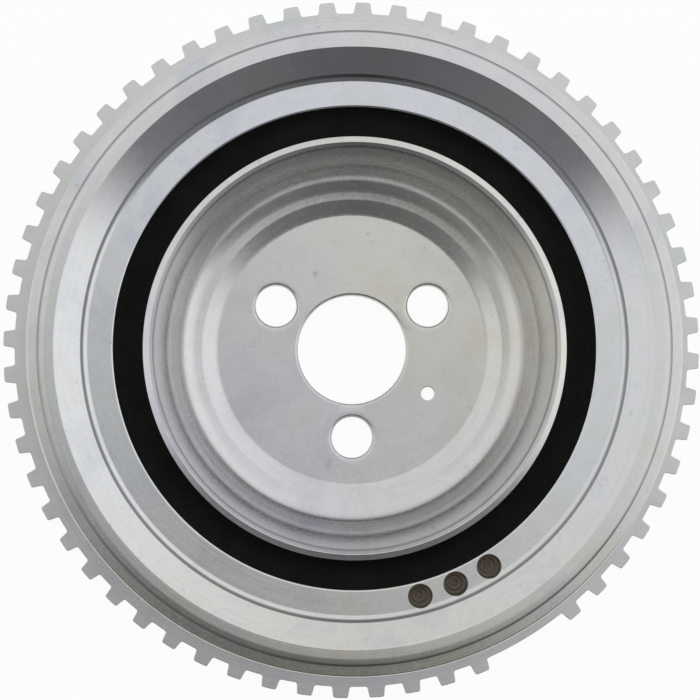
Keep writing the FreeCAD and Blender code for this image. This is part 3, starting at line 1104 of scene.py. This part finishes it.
@dataclass
class ToneWheel:
    """The stamped ring of 58 teeth in 60 places."""

    bore: float = 66.0
    root: float = 75.0
    tip: float = 77.5
    tip_width: float = 3.3
    root_width: float = 4.05
    tip_rounding: float = 0.5
    root_rounding: float = 0.5
    base: float = 0.5
    thickness: float = 3.0
    places: int = 60
    missing: int = 2
    first_angle: float = -49.87
    edge_rounding: float = 0.12
    edges_from: float = 60.0
    arc_steps: int = 6
    sharp_from: float = 50.0

    def at(self, radius: float, angle: float) -> Vector:
        """The point at a radius in millimetres and an angle in degrees, at the ring's base and in metres."""
        turn = math.radians(angle)
        return Vector((radius * math.cos(turn), radius * math.sin(turn), self.base)) * MM

    def sector(self, toothed: bool) -> bpy.types.Object:
        """Traces one place of the ring.

        Args:
            toothed: Whether the place has its tooth.

        Returns:
            The flat sector, in edit mode.
        """
        pitch = 360 / self.places
        middle = self.first_angle if toothed else self.first_angle - pitch
        start, end = middle - pitch / 2, middle + pitch / 2
        steps = [pitch * step / self.arc_steps for step in range(self.arc_steps + 1)]
        inner = [self.at(self.bore, end - step) for step in steps]
        if not toothed:
            return trace_outline("blank_place", [self.at(self.root, start + step) for step in steps] + inner)
        root_half = math.degrees(math.asin(self.root_width / 2 / self.root))
        tip_half = math.degrees(math.asin(self.tip_width / 2 / self.tip))
        outer = [
            (self.root, start, 0),
            (self.root, (start + middle - root_half) / 2, 0),
            (self.root, middle - root_half, self.root_rounding),
            (self.tip, middle - tip_half, self.tip_rounding),
            (self.tip, middle - tip_half / 3, 0),
            (self.tip, middle + tip_half / 3, 0),
            (self.tip, middle + tip_half, self.tip_rounding),
            (self.root, middle + root_half, self.root_rounding),
            (self.root, (end + middle + root_half) / 2, 0),
            (self.root, end, 0),
        ]
        places = [self.at(radius, angle) for radius, angle, _ in outer] + inner
        piece = trace_outline("toothed_place", places)
        round_corners(piece, places, [rounding * MM for _, _, rounding in outer] + [0] * len(inner))
        return piece

    def build(self) -> bpy.types.Object:
        """Stamps the ring and dresses it.

        Returns:
            The finished piece.
        """
        pitch = math.tau / self.places
        blank = self.sector(toothed=False)
        select_whole()
        copies = self.missing - 1
        bpy.ops.mesh.spin(steps=copies, dupli=True, angle=pitch * copies, **ROUND_THE_AXIS)
        bpy.ops.object.mode_set(mode="OBJECT")
        piece = self.sector(toothed=True)
        copies = self.places - self.missing - 1
        select_whole()
        bpy.ops.mesh.spin(steps=copies, dupli=True, angle=-pitch * copies, **ROUND_THE_AXIS)
        activate(piece)
        blank.select_set(True)
        bpy.ops.object.join()
        piece.name = "toothed_ring"
        piece.data.name = "toothed_ring"
        bpy.ops.object.mode_set(mode="EDIT")
        select_whole()
        bpy.ops.mesh.remove_doubles(threshold=SECTOR_WELD)
        select_whole()
        bpy.ops.mesh.extrude_region_move(TRANSFORM_OT_translate={"value": (0, 0, self.thickness * MM)})
        close_up(piece)
        apply_modifier(
            piece,
            "BEVEL",
            width=self.edge_rounding * MM,
            segments=2,
            limit_method="ANGLE",
            angle_limit=math.radians(self.edges_from),
            use_clamp_overlap=True,
        )
        piece.data.materials.append(STAMPED_ZINC.material())
        smooth(piece, self.sharp_from)
        return piece


# ---------------------------------------------------------------- studio


@dataclass
class Studio:
    """A plain pale table, plain soft light and the camera over the pulley.

    The light comes from the world alone: a white tent that is open on the near side, where the camera stands. The
    tent's numbers are its brightness, where 1 is white, and parts of a direction's X, Y or Z. The table's and the
    camera's are millimetres.
    """

    overhead: float = 0.84
    right: float = 1.04
    left: float = 0.86
    far: float = 0.78
    side_reach: float = 0.766
    opening: float = 0.125
    opening_sides: float = 0.16
    opening_spread: float = 0.58
    opening_shift: float = -0.05
    opening_heights: tuple[float, float] = (0.6, 1.0)
    skirt: float = 0.17
    skirt_sides: float = 0.33
    skirt_far: float = 0.13
    skirt_heights: tuple[float, float] = (0.1, 0.5)
    edge_blur: tuple[float, float] = (0.09, 0.2)
    table_size: float = 6000.0
    table_gap: float = 0.02
    table_paint: str = "#f7f7f7"
    table_glow: float = 0.95
    camera_place: tuple[float, float, float] = (-25.5, -13.6, 903.5)
    camera_aim: tuple[float, float, float] = (-0.42, -0.03, 3.5)
    lens: float = 207.96

    def lay_table(self) -> None:
        """Lays the table top: matt white board that shows white and keeps a faint shadow.

        It lies a hair below the part, so that the two never share a plane, and from below it can be seen through.
        """
        deselect_all()
        bpy.ops.mesh.primitive_plane_add(size=self.table_size * MM, location=(0, 0, -self.table_gap * MM))
        table = bpy.context.object
        table.name = "table_top"
        material, tree = start_material("white_table")
        rays = add_node(tree, "ShaderNodeLightPath").outputs
        seen = add_node(
            tree, "ShaderNodeMath", {0: rays["Is Camera Ray"], 1: rays["Is Glossy Ray"]}, operation="MAXIMUM"
        )
        share = add_node(tree, "ShaderNodeMath", {0: seen.outputs[0], 1: self.table_glow}, operation="MULTIPLY")
        paint = add_node(tree, "ShaderNodeBsdfDiffuse", {"Color": linear(self.table_paint)})
        glow = add_node(tree, "ShaderNodeEmission", {"Color": (1, 1, 1, 1), "Strength": 1.0})
        both = add_node(
            tree, "ShaderNodeMixShader", {0: share.outputs[0], 1: paint.outputs[0], 2: glow.outputs[0]}
        )
        under = add_node(tree, "ShaderNodeNewGeometry").outputs["Backfacing"]
        clear = add_node(tree, "ShaderNodeBsdfTransparent").outputs[0]
        one_sided = add_node(tree, "ShaderNodeMixShader", {0: under, 1: both.outputs[0], 2: clear})
        add_node(tree, "ShaderNodeOutputMaterial", {0: one_sided.outputs[0]})
        table.data.materials.append(material)

    def fill_world(self) -> None:
        """Lights the room as the tent, and shows white to the camera."""
        world = bpy.data.worlds.new("studio")
        bpy.context.scene.world = world
        world.use_nodes = True
        tree = world.node_tree
        tree.nodes.clear()
        way = add_node(tree, "ShaderNodeTexCoord").outputs["Generated"]
        split = add_node(tree, "ShaderNodeSeparateXYZ", {0: way}).outputs
        low, high = self.opening_heights

        # The opening is a wedge that widens towards the near side. Its edges blur and straighten lower down
        shift = add_node(
            tree, "ShaderNodeMapRange", {0: split[2], 1: low, 2: high, 3: 0.0, 4: self.opening_shift}
        ).outputs[0]
        moved = add_node(tree, "ShaderNodeMath", {0: split[0], 1: shift}, operation="SUBTRACT").outputs[0]
        aside = add_node(tree, "ShaderNodeMath", {0: moved}, operation="ABSOLUTE").outputs[0]
        wedge = add_node(
            tree, "ShaderNodeMath", {0: aside, 1: self.opening_spread, 2: split[1]}, operation="MULTIPLY_ADD"
        ).outputs[0]
        softness = add_node(
            tree, "ShaderNodeMapRange", {0: split[2], 1: high, 2: low, 3: self.edge_blur[0], 4: self.edge_blur[1]}
        ).outputs[0]
        inner = add_node(tree, "ShaderNodeMath", {0: softness, 1: -1.0}, operation="MULTIPLY").outputs[0]
        lit = add_node(
            tree, "ShaderNodeMapRange", {0: wedge, 1: inner, 2: softness}, interpolation_type="SMOOTHSTEP"
        ).outputs[0]

        # The tent grows brighter or darker from its top towards each side
        tent = self.overhead
        ways = ((0, self.side_reach, self.right), (0, -self.side_reach, self.left), (1, self.side_reach, self.far))
        for axis, reach, brightness in ways:
            side = add_node(
                tree,
                "ShaderNodeMapRange",
                {0: split[axis], 1: 0.0, 2: reach, 3: 0.0, 4: brightness - self.overhead},
            ).outputs[0]
            tent = add_node(tree, "ShaderNodeMath", {0: side, 1: tent}, operation="ADD").outputs[0]
        shade = add_node(
            tree, "ShaderNodeMath", {0: aside, 1: self.opening_sides, 2: self.opening}, operation="MULTIPLY_ADD"
        ).outputs[0]
        above = add_node(tree, "ShaderNodeMix", {0: lit, 2: shade, 3: tent}, data_type="FLOAT").outputs[0]

        # Near the table's level the room is dark on the near side, dim on the far side and grey at the sides
        ends = add_node(
            tree, "ShaderNodeMath", {0: split[1], 1: self.skirt_far, 2: self.skirt}, operation="MULTIPLY_ADD"
        ).outputs[0]
        skirt = add_node(
            tree, "ShaderNodeMath", {0: aside, 1: self.skirt_sides, 2: ends}, operation="MULTIPLY_ADD"
        ).outputs[0]
        rise = add_node(
            tree,
            "ShaderNodeMapRange",
            dict(enumerate((split[2], *self.skirt_heights))),
            interpolation_type="SMOOTHSTEP",
        ).outputs[0]
        level = add_node(tree, "ShaderNodeMix", {0: rise, 2: skirt, 3: above}, data_type="FLOAT").outputs[0]
        rays = add_node(tree, "ShaderNodeLightPath").outputs
        room = add_node(tree, "ShaderNodeBackground", {"Color": (1, 1, 1, 1), "Strength": level})
        white = add_node(tree, "ShaderNodeBackground", {"Color": (1, 1, 1, 1), "Strength": 1.0})
        both = add_node(
            tree, "ShaderNodeMixShader", {0: rays["Is Camera Ray"], 1: room.outputs[0], 2: white.outputs[0]}
        )
        add_node(tree, "ShaderNodeOutputWorld", {0: both.outputs[0]})

    def set_camera(self) -> None:
        """Hangs the camera over the pulley, where the photograph was taken from."""
        deselect_all()
        place = Vector(self.camera_place) * MM
        aim = Vector(self.camera_aim) * MM
        bpy.ops.object.camera_add(location=place)
        camera = bpy.context.object
        camera.name = "overhead_camera"
        camera.rotation_mode = "QUATERNION"
        camera.rotation_quaternion = Vector((0, 0, -1)).rotation_difference(aim - place)
        camera.data.lens = self.lens
        camera.data.sensor_width = 36.0
        camera.data.clip_start = 0.05
        camera.data.clip_end = 20.0
        bpy.context.scene.camera = camera

    def build(self) -> None:
        """Sets the whole studio up."""
        self.set_camera()
        self.lay_table()
        self.fill_world()
        bpy.context.scene.view_settings.view_transform = "Standard"


def seat(piece: bpy.types.Object, node: str, slot: Slot) -> None:
    """Puts a finished piece in its CAD node's place.

    Args:
        piece: The finished piece.
        node: The CAD node that it stands for.
        slot: The record's material slot; it is not used.
    """
    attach(piece, BODY)
    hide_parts(node)
    LOG.info("%s stands for %s: %d faces", piece.name, node, len(piece.data.polygons))


def main() -> None:
    """Builds the studio and the pulley's four pieces."""
    logging.basicConfig(level=logging.INFO, format="%(message)s")
    Studio().build()
    seat(Hub().build(), "hub", Slot.DRAWN)
    seat(RubberRing().build(), "damper_rubber", Slot.RUBBER)
    seat(Rim().build(), "pulley_rim", Slot.TURNED)
    seat(ToneWheel().build(), "tone_wheel", Slot.STAMPED)


if __name__ == "__main__":
    main()
